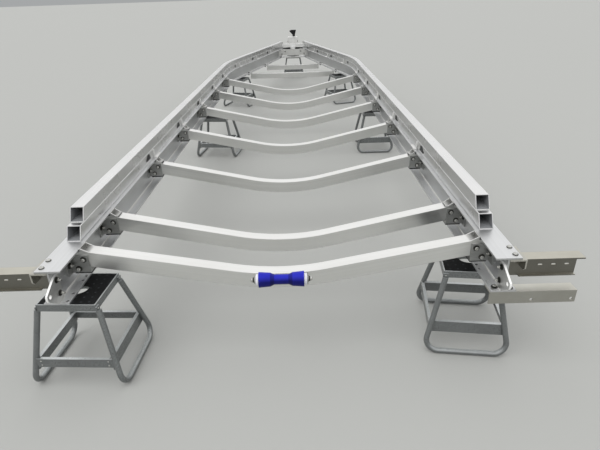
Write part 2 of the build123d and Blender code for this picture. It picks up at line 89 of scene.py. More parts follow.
camera_data = bpy.data.cameras.new("camera")
camera_data.sensor_width = 36.0
camera_data.lens = FOCAL_PIXELS * camera_data.sensor_width / PHOTO_WIDTH
camera_data.clip_end = 400
camera = bpy.data.objects.new("camera", camera_data)
bpy.context.scene.collection.objects.link(camera)
turn = Matrix.Rotation(HEADING, 4, "Z") @ Matrix.Rotation(math.pi / 2 - PITCH, 4, "X")
camera.matrix_world = Matrix.Translation(EYE) @ turn @ Matrix.Rotation(-ROLL, 4, "Z")
bpy.context.scene.camera = camera
print("lens", camera_data.lens)

# %% [markdown]
# ## Helpers for materials
# A shader is a small network of nodes. One function adds a node, gives its sockets plain values or
# links from other nodes, and returns it. Colours are written as they look on a screen, in hex, and
# one function turns them into the linear numbers that light is worked out with.


# %% Node and colour helpers
def node(tree, kind, inputs=None, **settings):
    """Adds a node. inputs maps a socket's name or number to a value or another node's output."""
    made = tree.nodes.new(kind)
    for key, value in settings.items():
        setattr(made, key, value)
    for key, value in (inputs or {}).items():
        if isinstance(value, bpy.types.NodeSocket):
            tree.links.new(value, made.inputs[key])
        else:
            made.inputs[key].default_value = value
    return made


def linear(hex_colour):
    """Linear RGBA of an sRGB colour such as 'C8C9C6'."""
    levels = [int(hex_colour[i:i + 2], 16) / 255 for i in (0, 2, 4)]
    levels = [v / 12.92 if v <= 0.04045 else ((v + 0.055) / 1.055) ** 2.4 for v in levels]
    return (*levels, 1.0)


def new_material(name):
    """A node material, with its tree and its Principled shader."""
    made = bpy.data.materials.new(name)
    made.use_nodes = True
    return made, made.node_tree, made.node_tree.nodes["Principled BSDF"]


print("white is", linear("FFFFFF"))

# %% [markdown]
# ## Floor and light
# The studio is a plain pale floor under a broad soft sky. Metal has no colour of its own to speak
# of: it shows what is around it. So the sky is bright overhead, which whitens every top face, and
# darker towards the horizon, which leaves the sides in the grey of the floor.

# %% Floor
FLOOR_WIDTH = 500
bpy.ops.object.select_all(action="DESELECT")
bpy.ops.mesh.primitive_plane_add(size=FLOOR_WIDTH, location=(0, 100, 0))
floor = bpy.context.object
floor.name = "floor"
floor_material, tree, shader = new_material("matt studio floor")
shader.inputs["Base Color"].default_value = linear("B3B4B1")
shader.inputs["Roughness"].default_value = 0.85
shader.inputs["Specular IOR Level"].default_value = 0.2
floor.data.materials.append(floor_material)
print("floor", floor_material.name)

# %% Sky
HORIZON, ZENITH = linear("A9ABAC"), linear("FFFFFF")
BRIGHT_FROM = 0.32

world = bpy.data.worlds.new("studio")
bpy.context.scene.world = world
world.use_nodes = True
tree = world.node_tree
way = node(tree, "ShaderNodeTexCoord").outputs["Generated"]
up = node(tree, "ShaderNodeSeparateXYZ", {0: way}).outputs["Z"]
height = node(tree, "ShaderNodeMapRange", {
    "Value": up, "From Min": 0.0, "From Max": BRIGHT_FROM},
    interpolation_type="SMOOTHSTEP").outputs[0]
blend = node(tree, "ShaderNodeMix", {"Factor": height, 6: HORIZON, 7: ZENITH}, data_type="RGBA")
sky = tree.nodes["Background"]
tree.links.new(blend.outputs[2], sky.inputs["Color"])
sky.inputs["Strength"].default_value = 0.95
bpy.context.scene.view_settings.view_transform = "Standard"
print("sky strength", sky.inputs["Strength"].default_value)

# %% Lamp
bpy.ops.object.light_add(type="SUN", rotation=(math.radians(22), math.radians(-24), 0))
sun = bpy.context.object
sun.data.energy = 0.9
sun.data.angle = math.radians(50)
sun.visible_glossy = False
print("lamp strength", sun.data.energy)

# %% [markdown]
# ## Painted shade on upright faces
# Upright faces are painted darker, as shade, and faces that look up keep their full colour. Many of
# the finishes below use this, so it comes first: it scales the colour by which way the surface looks.


# %% Painted shade on upright faces
def painted_upright_shade(tree, colour, normal, upright):
    """The colour where a face looks up, and the share 'upright' of it as painted shade where it
    stands.
    """
    facing = node(tree, "ShaderNodeSeparateXYZ", {0: normal}).outputs["Z"]
    share = node(tree, "ShaderNodeMapRange", {
        "Value": facing, "From Min": 0.2, "From Max": 0.8,
        "To Min": upright, "To Max": 1.0}).outputs[0]
    return node(tree, "ShaderNodeVectorMath", {
        0: colour, "Scale": share}, operation="SCALE").outputs[0]


print("painted upright shade ready")

# %% [markdown]
# ## Mill-finish aluminium extrusion
# The beams, tubes and cross members are pushed through a die and left as they come. That gives the
# eye a clean, bright, slightly blurred mirror with faint lines along the length, soft cloudy
# patches, and corners that catch the light, because an extruded edge is rounded. The lines need
# axes that follow the metal: the beams and tubes bend inwards, and the cross members sag.

# %% Axes that follow the metal
SAG, SAG_ROUNDING = 0.222, 0.06


def metal_axes(tree, place, side, run):
    """Across, along and up for a 'beam', a 'tube' or a 'bar', in metres."""
    if run == "bar":
        square = node(tree, "ShaderNodeMath", {
            0: side, 1: side, 2: SAG_ROUNDING}, operation="MULTIPLY_ADD").outputs[0]
        curve = node(tree, "ShaderNodeMath", {0: square}, operation="SQRT").outputs[0]
        up = node(tree, "ShaderNodeMath", {
            0: curve, 1: -SAG, 2: place["Z"]}, operation="MULTIPLY_ADD").outputs[0]
        return place["Y"], place["X"], up
    past = node(tree, "ShaderNodeMath", {
        0: place["Y"], 1: BEND_START}, operation="SUBTRACT").outputs[0]
    past = node(tree, "ShaderNodeMath", {0: past, 1: 0.0}, operation="MAXIMUM").outputs[0]
    across = node(tree, "ShaderNodeMath", {
        0: past, 1: BEND_SLOPE, 2: side}, operation="MULTIPLY_ADD").outputs[0]
    return across, place["Y"], place["Z"]


def from_web(tree, path):
    """How far the metal lies sideways from its web's middle, and how far over the beams' top."""
    middle = node(tree, "ShaderNodeVectorMath", {
        0: path, 1: (WEB * MM, 0.0, BEAM_TOP)}, operation="SUBTRACT").outputs[0]
    offset = node(tree, "ShaderNodeSeparateXYZ", {0: middle}).outputs
    sideways = node(tree, "ShaderNodeMath", {0: offset["X"]}, operation="ABSOLUTE").outputs[0]
    return sideways, offset["Z"]


print("the beams bend by", round(math.degrees(BEND_ANGLE)), "degrees")

# %% [markdown]
# Near each end a cross member's top steps down between its side walls, and a small plate closes
# this hollow next to the beam's flange. The plate's inner face and the hollow's floor are darkened
# there as painted shade, the shade under the flange.

# %% Painted shade in the hollows
HOLLOW_FROM, HOLLOW_TO = 0.806, 0.846
HOLLOW_SHADE = 0.62


def painted_notch_shade(tree, colour, place, normal, side):
    """Paints shade into the hollow at both ends of a cross member."""
    facing = node(tree, "ShaderNodeSeparateXYZ", {0: normal}).outputs
    inward = node(tree, "ShaderNodeMath", {
        0: place["X"], 1: facing["X"]}, operation="MULTIPLY").outputs[0]
    wall = node(tree, "ShaderNodeMapRange", {
        "Value": inward, "From Min": -0.75, "From Max": -0.65,
        "To Min": 1.0, "To Max": 0.0}).outputs[0]
    level = node(tree, "ShaderNodeMapRange", {
        "Value": facing["Z"], "From Min": 0.90, "From Max": 0.96}).outputs[0]
    under = node(tree, "ShaderNodeMapRange", {
        "Value": place["Z"], "From Min": BEAM_TOP - 12 * MM, "From Max": BEAM_TOP - 8 * MM,
        "To Min": 1.0, "To Max": 0.0}).outputs[0]
    reach = node(tree, "ShaderNodeMapRange", {
        "Value": side, "From Min": HOLLOW_FROM, "From Max": HOLLOW_TO}).outputs[0]
    base = node(tree, "ShaderNodeMath", {0: level, 1: under}, operation="MULTIPLY").outputs[0]
    base = node(tree, "ShaderNodeMath", {0: base, 1: reach}, operation="MULTIPLY").outputs[0]
    notch_shade = node(tree, "ShaderNodeMath", {0: base, 1: wall}, operation="MAXIMUM").outputs[0]
    share = node(tree, "ShaderNodeMath", {
        0: notch_shade, 1: -HOLLOW_SHADE, 2: 1.0}, operation="MULTIPLY_ADD").outputs[0]
    return node(tree, "ShaderNodeVectorMath", {
        0: colour, "Scale": share}, operation="SCALE").outputs[0]


print("hollows from", HOLLOW_FROM, "to", HOLLOW_TO)

# %% [markdown]
# Between a beam's web and its lower flange the die leaves a rounded fillet; its thin bright line is
# a painted highlight. At the rear end the tie-down plate covers the web, and the line lies at the
# plate's foot. The low part of a beam also keeps a pale bloom, so it is less of a mirror.

# %% Painted highlight on the fillet
FILLET_HEIGHT = BEAM_BOTTOM + 10.5 * MM
FILLET_HALF = 3.8 * MM
FILLET_EDGE = 9.5 * MM
PLATE_END, PLATE_EDGE = 48 * MM, 16.5 * MM


def painted_fillet_highlight(tree, shader, colour, sideways, along, up):
    """The beam's colour with a painted highlight on the fillet; sets how metallic the low part is."""
    reach = node(tree, "ShaderNodeMapRange", {
        "Value": along,
        "From Min": REAR + PLATE_END - 2 * MM, "From Max": REAR + PLATE_END + 2 * MM,
        "To Min": PLATE_EDGE, "To Max": FILLET_EDGE}).outputs[0]
    near = node(tree, "ShaderNodeMath", {
        0: sideways, 1: reach}, operation="LESS_THAN").outputs[0]
    low = node(tree, "ShaderNodeMath", {
        0: up, 1: FILLET_HEIGHT, 2: FILLET_HALF}, operation="COMPARE").outputs[0]
    root = node(tree, "ShaderNodeMath", {0: near, 1: low}, operation="MULTIPLY").outputs[0]
    bloom = node(tree, "ShaderNodeMapRange", {
        "Value": up, "From Min": BEAM_BOTTOM + 12 * MM, "From Max": BEAM_BOTTOM + 20 * MM,
        "To Min": 0.70}).outputs[0]
    share = node(tree, "ShaderNodeMath", {
        0: root, 1: -0.5, 2: 1.0}, operation="MULTIPLY_ADD").outputs[0]
    share = node(tree, "ShaderNodeMath", {0: share, 1: bloom}, operation="MULTIPLY").outputs[0]
    tree.links.new(share, shader.inputs["Metallic"])
    # The pale colour on the fillet line is the painted highlight.
    return node(tree, "ShaderNodeMix", {
        "Factor": root, 6: colour, 7: linear("E2E2DF")}, data_type="RGBA").outputs[2]


print("fillet height", FILLET_HEIGHT)

# %% [markdown]
# The tubes are open at the rear, and inside they are dull and dark. Their walls are 4 mm thick, so
# what lies within 27 mm of a tube's middle belongs to the bore. Round the bend the metal runs on an
# arc, and the axes turn a corner up to 20 mm beside it. No bore is seen there, so all of it counts
# as outside.

# %% Dark bores
BORE_EDGE, SKIN_EDGE = 27.6 * MM, 28.4 * MM
BEND_REACH = 0.6


def dark_bore(tree, shader, colour, sideways, along, over):
    """The tube's colour with its dull bore; sets the bore to be no metal mirror."""
    level = node(tree, "ShaderNodeMath", {
        0: over, 1: TUBE * MM}, operation="FLOORED_MODULO").outputs[0]
    level = node(tree, "ShaderNodeMath", {
        0: level, 1: TUBE * MM / 2}, operation="SUBTRACT").outputs[0]
    level = node(tree, "ShaderNodeMath", {0: level}, operation="ABSOLUTE").outputs[0]
    depth = node(tree, "ShaderNodeMath", {
        0: sideways, 1: level}, operation="MAXIMUM").outputs[0]
    skin = node(tree, "ShaderNodeMapRange", {
        "Value": depth, "From Min": BORE_EDGE, "From Max": SKIN_EDGE}).outputs[0]
    bend = node(tree, "ShaderNodeMath", {
        0: along, 1: BEND_START, 2: BEND_REACH}, operation="COMPARE").outputs[0]
    skin = node(tree, "ShaderNodeMath", {0: skin, 1: bend}, operation="MAXIMUM").outputs[0]
    tree.links.new(skin, shader.inputs["Metallic"])
    return node(tree, "ShaderNodeMix", {
        "Factor": skin, 6: linear("8E9092"), 7: colour}, data_type="RGBA").outputs[2]


print("bore within", BORE_EDGE)

# %% [markdown]
# Now the whole extrusion. Real die lines are less than a millimetre apart, too fine to show, so
# they are drawn 12 mm apart and 2 m long. The cloudy patches are about 300 mm wide, and the
# smears that change the gloss about 140 mm.

# %% Extrusion material
DIE_LINES = (85.0, 0.5, 85.0)
CLOUDS = 3.4
SMEARS = 7.0
EDGE_ROUNDING = 2.2 * MM


def extrusion(name, light, dark, rough, upright, run):
    """Extruded aluminium: run says whether its die lines follow a 'beam', a 'tube' or a 'bar'."""
    made, tree, shader = new_material(name)
    coords = node(tree, "ShaderNodeTexCoord").outputs
    place = node(tree, "ShaderNodeSeparateXYZ", {0: coords["Object"]}).outputs
    side = node(tree, "ShaderNodeMath", {0: place["X"]}, operation="ABSOLUTE").outputs[0]
    across, along, up = metal_axes(tree, place, side, run)
    path = node(tree, "ShaderNodeCombineXYZ", {"X": across, "Y": along, "Z": up}).outputs[0]
    drawn = node(tree, "ShaderNodeVectorMath", {
        0: path, 1: DIE_LINES}, operation="MULTIPLY").outputs[0]
    lines = node(tree, "ShaderNodeTexNoise", {
        "Vector": drawn, "Scale": 1.0, "Detail": 2.0}).outputs[0]
    cloud = node(tree, "ShaderNodeTexNoise", {
        "Vector": coords["Object"], "Scale": CLOUDS, "Detail": 4.0}).outputs[0]
    smear = node(tree, "ShaderNodeTexNoise", {
        "Vector": coords["Object"], "Scale": SMEARS, "Detail": 1.0}).outputs[0]
    tone = node(tree, "ShaderNodeMath", {0: lines, 1: cloud}, operation="ADD").outputs[0]
    tone = node(tree, "ShaderNodeMapRange", {
        "Value": tone, "From Min": 0.7, "From Max": 1.3}).outputs[0]
    mix = node(tree, "ShaderNodeMix", {
        "Factor": tone, 6: linear(dark), 7: linear(light)}, data_type="RGBA")
    colour = painted_upright_shade(tree, mix.outputs[2], coords["Normal"], upright)
    shader.inputs["Metallic"].default_value = 1.0
    if run == "bar":
        colour = painted_notch_shade(tree, colour, place, coords["Normal"], side)
    else:
        sideways, over = from_web(tree, path)
        if run == "beam":
            colour = painted_fillet_highlight(tree, shader, colour, sideways, along, up)
        else:
            colour = dark_bore(tree, shader, colour, sideways, along, over)
    tree.links.new(colour, shader.inputs["Base Color"])
    matt = node(tree, "ShaderNodeMapRange", {
        "Value": smear, "From Min": 0.3, "From Max": 0.7,
        "To Min": rough - 0.02, "To Max": rough + 0.03}).outputs[0]
    tree.links.new(matt, shader.inputs["Roughness"])
    corner = node(tree, "ShaderNodeBevel", {"Radius": EDGE_ROUNDING}, samples=6)
    tree.links.new(corner.outputs[0], shader.inputs["Normal"])
    return made


# The widest blur, and the most painted shade on upright faces.
beam_metal = extrusion(
    "mill-finish aluminium extrusion, beams", "ECEDEE", "E0E1E1", 0.40, 0.70, "beam")
# The smoothest of the three, so its mirror is the sharpest; its upright faces get painted shade.
tube_metal = extrusion(
    "mill-finish aluminium extrusion, tubes", "F4F4F3", "ECECEC", 0.28, 0.74, "tube")
# The palest, with the least painted shade on its upright faces.
bar_metal = extrusion(
    "mill-finish aluminium extrusion, cross members", "F8F8F6", "F0F0ED", 0.32, 0.86, "bar")
print(beam_metal.name, tube_metal.name, bar_metal.name)

# %% [markdown]
# ## Rolled aluminium plate
# Saddles, brackets and outriggers are cut from rolled plate or thin channel. Rolling and handling
# leave it duller than an extrusion: a wide blurred sheen, short scuffs in every direction, and a
# slightly warm grey. A chalky bloom makes some of it less of a mirror. Real scuffs are too fine to
# show, so they are drawn 4 mm wide and 40 mm long, in three directions, over 110 mm clouds.

# %% Plate material
SCUFFS = (26.0, 240.0, 240.0)
SCUFF_TURNS = (0.4, 1.3, 2.2)


def sawn_edge_highlight(tree, shader, colour, normal, edge, metallic):
    """Gives a standing plate's sawn edges, which look anywhere but sideways, a painted highlight
    colour.
    """
    facing = node(tree, "ShaderNodeSeparateXYZ", {0: normal}).outputs["X"]
    sawn = node(tree, "ShaderNodeMath", {0: facing, 1: 0.0, 2: 0.5}, operation="COMPARE").outputs[0]
    bare = node(tree, "ShaderNodeMapRange", {
        "Value": sawn, "To Min": metallic, "To Max": 0.1}).outputs[0]
    tree.links.new(bare, shader.inputs["Metallic"])
    return node(tree, "ShaderNodeMix", {
        "Factor": sawn, 6: colour, 7: linear(edge)}, data_type="RGBA").outputs[2]


def plate(name, light, dark, rough, upright=1.0, metallic=1.0, edge=None):
    """Rolled aluminium plate; edge is the sawn edges' colour: matt, and bright as a painted
    highlight.
    """
    made, tree, shader = new_material(name)
    coords = node(tree, "ShaderNodeTexCoord").outputs
    scuffs = []
    for angle in SCUFF_TURNS:
        turned = node(tree, "ShaderNodeMapping", {
            "Vector": coords["Object"], "Rotation": (angle, 0.5 * angle, angle), "Scale": SCUFFS})
        scuffs.append(node(tree, "ShaderNodeTexNoise", {
            "Vector": turned.outputs[0], "Scale": 1.0, "Detail": 2.0}).outputs[0])
    cloud = node(tree, "ShaderNodeTexNoise", {
        "Vector": coords["Object"], "Scale": 9.0, "Detail": 5.0}).outputs[0]
    wear = node(tree, "ShaderNodeMath", {
        0: scuffs[0], 1: scuffs[1]}, operation="MAXIMUM").outputs[0]
    wear = node(tree, "ShaderNodeMath", {
        0: scuffs[2], 1: 0.6, 2: wear}, operation="MULTIPLY_ADD").outputs[0]
    tone = node(tree, "ShaderNodeMath", {
        0: cloud, 1: 1.5, 2: wear}, operation="MULTIPLY_ADD").outputs[0]
    tone = node(tree, "ShaderNodeMapRange", {
        "Value": tone, "From Min": 1.25, "From Max": 2.25}).outputs[0]
    mix = node(tree, "ShaderNodeMix", {
        "Factor": tone, 6: linear(dark), 7: linear(light)}, data_type="RGBA")
    colour = painted_upright_shade(tree, mix.outputs[2], coords["Normal"], upright)
    shader.inputs["Metallic"].default_value = metallic
    if edge:
        colour = sawn_edge_highlight(tree, shader, colour, coords["Normal"], edge, metallic)
    tree.links.new(colour, shader.inputs["Base Color"])
    matt = node(tree, "ShaderNodeMapRange", {
        "Value": wear, "From Min": 0.6, "From Max": 1.1,
        "To Min": rough - 0.06, "To Max": rough + 0.08}).outputs[0]
    tree.links.new(matt, shader.inputs["Roughness"])
    corner = node(tree, "ShaderNodeBevel", {"Radius": 1.2 * MM}, samples=6)
    relief = node(tree, "ShaderNodeBump", {
        "Height": wear, "Strength": 0.05, "Distance": 1 * MM, "Normal": corner.outputs[0]})
    tree.links.new(relief.outputs[0], shader.inputs["Normal"])
    return made


print("scuffs in", len(SCUFF_TURNS), "directions")

# %% Eight kinds of plate
# An upright share below 1 paints shade on a plate's upright faces.
# The greyest, with the strongest contrast in its scuffs.
saddle_metal = plate(
    "rolled aluminium plate, saddles", "D0D1D0", "A8A9A6", 0.42, 0.76, 0.8)
# Grey faces, with matt sawn edges painted near white as a highlight.
tie_metal = plate(
    "rolled aluminium plate, sawn", "EAEAE8", "CECECB", 0.36, 0.88, 0.8, "FFFFFD")
# A chalky bloom dulls the nose, so it looks pale and mirrors little.
# The head tube mirrors least, and its near white is a painted reflection of bright light.
nose_metal = plate("rolled aluminium plate, nose", "E0E0DE", "D0D0CD", 0.40, 1.0, 0.5)
head_tube_painted_reflection = plate("aluminium tube, nose, painted reflection", "FBFBF9", "F4F4F2", 0.34, 1.0, 0.2)
# Small, with a near white that is a painted highlight, so that they show against the tubes.
clip_painted_highlight = plate("aluminium clips, painted highlight", "FBFBF9", "F0F0EE", 0.34, 1.0, 0.4)
# Olive tint: a painted reflection of the floor; upright faces: painted shade, the upper ones most.
arm_metal = plate("aluminium channel with painted reflection and shade", "D6D4C9", "C4C1B5", 0.44, 0.34)
low_arm_metal = plate(
    "aluminium channel with painted reflection and shade, lower", "DCDBD3", "CBC9BF", 0.44, 0.62, 0.87)
# Between the beams' grey and the outriggers' olive.
bracket_metal = plate("rolled aluminium plate, brackets", "D2D1C9", "BFBDB4", 0.44, 0.95)
print(saddle_metal.name, tie_metal.name, nose_metal.name, head_tube_painted_reflection.name, clip_painted_highlight.name)
print(arm_metal.name, low_arm_metal.name, bracket_metal.name)

# %% [markdown]
# ## Zinc-plated steel
# Bolts, the roller's bracket and the coupling are steel with a thin coat of zinc. It is greyer and
# cooler than aluminium, with a fine crystal mottle. The tops of heads and nuts shine, while their
# sides and the hex washers are painted dark, as painted shade. The crystals of so thin a coat are
# too fine to show, so they are drawn 4 to 6 mm wide, over 25 mm clouds.


# %% Zinc material
def zinc(name, light, dark, rough, crystal, metallic=1.0):
    """Zinc-plated steel with a crystal mottle of the given size in millimetres."""
    made, tree, shader = new_material(name)
    place = node(tree, "ShaderNodeTexCoord").outputs["Object"]
    cells = node(tree, "ShaderNodeTexVoronoi", {
        "Vector": place, "Scale": 1 / (crystal * MM)}).outputs["Distance"]
    cloud = node(tree, "ShaderNodeTexNoise", {
        "Vector": place, "Scale": 40.0, "Detail": 4.0}).outputs[0]
    tone = node(tree, "ShaderNodeMath", {0: cells, 1: cloud}, operation="ADD").outputs[0]
    tone = node(tree, "ShaderNodeMapRange", {
        "Value": tone, "From Min": 0.5, "From Max": 1.3}).outputs[0]
    mix = node(tree, "ShaderNodeMix", {
        "Factor": tone, 6: linear(dark), 7: linear(light)}, data_type="RGBA")
    tree.links.new(mix.outputs[2], shader.inputs["Base Color"])
    shader.inputs["Metallic"].default_value = metallic
    matt = node(tree, "ShaderNodeMapRange", {
        "Value": cloud, "From Min": 0.3, "From Max": 0.7,
        "To Min": rough - 0.05, "To Max": rough + 0.08}).outputs[0]
    tree.links.new(matt, shader.inputs["Roughness"])
    return made


# The roller's bracket: a plain mid grey.
zinc_metal = zinc("zinc-plated steel", "C4C5C2", "9EA09E", 0.38, 6)
# The coupling's coat is new, pale and a little chalky.
coupling_zinc = zinc("new zinc-plated steel", "F2F2F0", "DEDEDB", 0.36, 6, 0.6)
# The smoothest, with tops that glint.
bolt_metal = zinc("bright zinc-plated bolt steel", "D8D8D4", "B4B4AE", 0.24, 4)
# Two dark coats: the domed bolts' dull washers, and painted shade for hex washers and sides.
washer_metal = zinc("dull zinc-plated washer steel", "6E6E6A", "4C4C49", 0.42, 4)
shade_zinc = zinc("zinc-plated steel, painted shade", "5C5C58", "3A3A38", 0.40, 4)
print(zinc_metal.name, coupling_zinc.name, bolt_metal.name, washer_metal.name, shade_zinc.name)

# %% [markdown]
# ## Painted, moulded and rubber parts
# The stools are steel with a grey powder coat, whose baked powder leaves a fine orange-peel skin,
# and sheet that looks up, as the trays' lips do, is painted pale as a highlight. The roller is cast
# polyurethane, a deep even blue with a satin skin, and its sloping shoulders are darkened as painted
# shade. The mats are black rubber with round dimples, 8 mm across and 34 mm apart and a little
# paler. Three small functions add these marks to a colour.

# %% Painted lip highlights, painted shoulder shade and dimples
LIPS_ABOVE = 0.1
DIMPLE_FROM, DIMPLE_TO = 0.10, 0.15


def painted_lip_highlight(tree, colour, coords, lip_highlight):
    """Gives sheet that looks straight up, clear of the floor, a pale colour as a painted highlight.
    """
    facing = node(tree, "ShaderNodeSeparateXYZ", {0: coords["Normal"]}).outputs["Z"]
    height = node(tree, "ShaderNodeSeparateXYZ", {0: coords["Object"]}).outputs["Z"]
    level = node(tree, "ShaderNodeMath", {0: facing, 1: 0.98}, operation="GREATER_THAN").outputs[0]
    raised = node(tree, "ShaderNodeMath", {
        0: height, 1: LIPS_ABOVE}, operation="GREATER_THAN").outputs[0]
    lit_lip = node(tree, "ShaderNodeMath", {0: level, 1: raised}, operation="MULTIPLY").outputs[0]
    return node(tree, "ShaderNodeMix", {
        "Factor": lit_lip, 6: colour, 7: linear(lip_highlight)}, data_type="RGBA").outputs[2]


def painted_shoulder_shade(tree, colour, coords, slopes):
    """Leaves only the share 'slopes' of the colour on a roller's sloping shoulders, as painted shade.
    """
    aside = node(tree, "ShaderNodeSeparateXYZ", {0: coords["Normal"]}).outputs["X"]
    aside = node(tree, "ShaderNodeMath", {0: aside}, operation="ABSOLUTE").outputs[0]
    share = node(tree, "ShaderNodeMapRange", {
        "Value": aside, "From Min": 0.12, "From Max": 0.20,
        "To Min": 1.0, "To Max": slopes}).outputs[0]
    return node(tree, "ShaderNodeVectorMath", {
        0: colour, "Scale": share}, operation="SCALE").outputs[0]


def dimpled(tree, colour, relief, coords, spacing):
    """Round dimples on a square grid: the colour and the height of the surface."""
    grid = node(tree, "ShaderNodeTexVoronoi", {
        "Vector": coords["Object"], "Scale": 1 / (spacing * MM), "Randomness": 0.0},
        voronoi_dimensions="2D").outputs["Distance"]
    hollow = node(tree, "ShaderNodeMapRange", {
        "Value": grid, "From Min": DIMPLE_FROM, "From Max": DIMPLE_TO,
        "To Min": 1.0, "To Max": 0.0}).outputs[0]
    relief = node(tree, "ShaderNodeMath", {
        0: hollow, 1: -3.0, 2: relief}, operation="MULTIPLY_ADD").outputs[0]
    colour = node(tree, "ShaderNodeMix", {
        "Factor": hollow, 6: colour, 7: linear("343739")}, data_type="RGBA").outputs[2]
    return colour, relief


print("lips above", LIPS_ABOVE)

# %% [markdown]
# A paint, a plastic and a rubber differ in colour, gloss and the size of their skin's bumps. The
# powder coat's orange peel is about 3 mm from bump to bump. The other skins are finer in life, and
# are drawn 2 to 5 mm wide so that they show. The colour clouds are about 70 mm wide.


# %% Coated and moulded materials
def coated(name, light, dark, rough, skin, bump, sheen=0.5, metallic=0.0, upright=1.0,
           lip_highlight=None, dimples=None, slopes=None):
    """A paint, plastic or rubber whose skin has bumps of the given size in millimetres.

    lip_highlight is the painted highlight colour of sheet that looks straight up, dimples their
    spacing in millimetres, and slopes the share of the colour, painted shade, on a roller's
    shoulders."""
    made, tree, shader = new_material(name)
    coords = node(tree, "ShaderNodeTexCoord").outputs
    cloud = node(tree, "ShaderNodeTexNoise", {
        "Vector": coords["Object"], "Scale": 14.0, "Detail": 5.0}).outputs[0]
    peel = node(tree, "ShaderNodeTexNoise", {
        "Vector": coords["Object"], "Scale": 1 / (skin * MM), "Detail": 2.0}).outputs[0]
    tone = node(tree, "ShaderNodeMapRange", {
        "Value": cloud, "From Min": 0.3, "From Max": 0.7}).outputs[0]
    mix = node(tree, "ShaderNodeMix", {
        "Factor": tone, 6: linear(dark), 7: linear(light)}, data_type="RGBA")
    colour = painted_upright_shade(tree, mix.outputs[2], coords["Normal"], upright)
    height = peel
    if lip_highlight:
        colour = painted_lip_highlight(tree, colour, coords, lip_highlight)
    if slopes:
        colour = painted_shoulder_shade(tree, colour, coords, slopes)
    if dimples:
        colour, height = dimpled(tree, colour, height, coords, dimples)
    tree.links.new(colour, shader.inputs["Base Color"])
    shader.inputs["Metallic"].default_value = metallic
    shader.inputs["Specular IOR Level"].default_value = sheen
    matt = node(tree, "ShaderNodeMapRange", {
        "Value": peel, "From Min": 0.3, "From Max": 0.7,
        "To Min": rough - 0.05, "To Max": rough + 0.07}).outputs[0]
    tree.links.new(matt, shader.inputs["Roughness"])
    relief = node(tree, "ShaderNodeBump", {"Height": height, "Strength": bump, "Distance": 1 * MM})
    tree.links.new(relief.outputs[0], shader.inputs["Normal"])
    return made


print("coat ready")

# %% Seven coats
# Silver-grey with a slight metal flake; painted shade where it stands, painted highlights on lips.
stool_paint = coated("grey powder coat", "AEB2B2", "A0A4A4", 0.28, 3, 0.03,
                     sheen=0.5, metallic=0.45, upright=0.46, lip_highlight="C8CCCC")
# Deep blue, painted nearly navy as shade on its upright faces, underside and shoulders.
roller_blue = coated("cast blue polyurethane", "2C32BC", "2228AC", 0.34, 4, 0.03,
                     sheen=0.14, upright=0.32, slopes=0.58)
# A cold white with a soft gloss.
cap_white = coated("moulded white nylon", "F6F6FB", "EAEBF3", 0.38, 4, 0.03)
# Three rubbers: plain black, the same with dimples for the mats, and one that is grey with dust.
rubber = coated("black rubber", "1B1C1D", "131414", 0.66, 5, 0.2, sheen=0.18)
mat_rubber = coated("black rubber mat, dimpled", "1B1C1D", "131414", 0.66, 5, 0.2,
                    sheen=0.18, dimples=34)
grey_rubber = coated("dusty rubber packer", "4A4B4B", "3A3B3B", 0.66, 5, 0.1, sheen=0.2)
# Glossier than rubber, with a finer grain.
grip_black = coated("moulded black plastic", "17171A", "101012", 0.40, 2, 0.05, sheen=0.3)
print(stool_paint.name, roller_blue.name, cap_white.name, rubber.name, mat_rubber.name)
print(grey_rubber.name, grip_black.name)

# %% [markdown]
# ## Dress the frame
# Each CAD solid keeps its shape and takes a finished material in its own slot.

# %% Materials on the solids
FINISHES = [
    (("beam_", "drawbar"), beam_metal),
    (("lower_tube_", "upper_tube_"), tube_metal),
    (("cross_member_",), bar_metal),
    (("saddles_",), saddle_metal),
    (("tie_down_plate_",), tie_metal),
    (("nose_plate",), nose_metal),
    (("head_tube",), head_tube_painted_reflection),
    (("light_arm_bracket_",), bracket_metal),
    (("upper_outrigger_",), arm_metal),
    (("lower_outrigger_",), low_arm_metal),
    (("roller_bracket",), zinc_metal),
    (("coupling_body", "coupling_head"), coupling_zinc),
    (("keel_roller",), roller_blue),
    (("roller_caps",), cap_white),
    (("stool_mats",), mat_rubber),
    (("saddle_feet",), rubber),
    (("stool_",), stool_paint),
    (("coupling_handle",), grip_black),
]
for name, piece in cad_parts.items():
    finish = next(material for starts, material in FINISHES if name.startswith(starts))
    piece.data.materials.clear()
    piece.data.materials.append(finish)
print("dressed", len(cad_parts), "solids")

# %% [markdown]
# ## Working with mesh operators
# Operators act on whatever is selected, so each model starts with nothing selected. Faces are then
# chosen in code, by where they are or which way they look.


# %% Select and shape
def clear():
    """Leaves edit mode and deselects everything."""
    if bpy.context.mode != "OBJECT":
        bpy.ops.object.mode_set(mode="OBJECT")
    bpy.ops.object.select_all(action="DESELECT")


def choose(piece, test):
    """Opens edit mode with only those faces selected that pass the test."""
    bpy.context.view_layer.objects.active = piece
    bpy.ops.object.mode_set(mode="EDIT")
    bpy.ops.mesh.select_mode(type="FACE")
    bpy.ops.mesh.select_all(action="DESELECT")
    bpy.ops.object.mode_set(mode="OBJECT")
    for face in piece.data.polygons:
        face.select = test(face)
    bpy.ops.object.mode_set(mode="EDIT")


def crown(piece, *steps):
    """Insets a prism's top and lifts it, once for each (inset, rise) in millimetres."""
    for inset, rise in steps:
        choose(piece, lambda face: face.normal.z > 0.9 and len(face.vertices) > 4)
        bpy.ops.mesh.inset(thickness=inset * MM)
        bpy.ops.transform.translate(value=(0, 0, rise * MM))
    return piece


clear()
print("mode", bpy.context.mode)


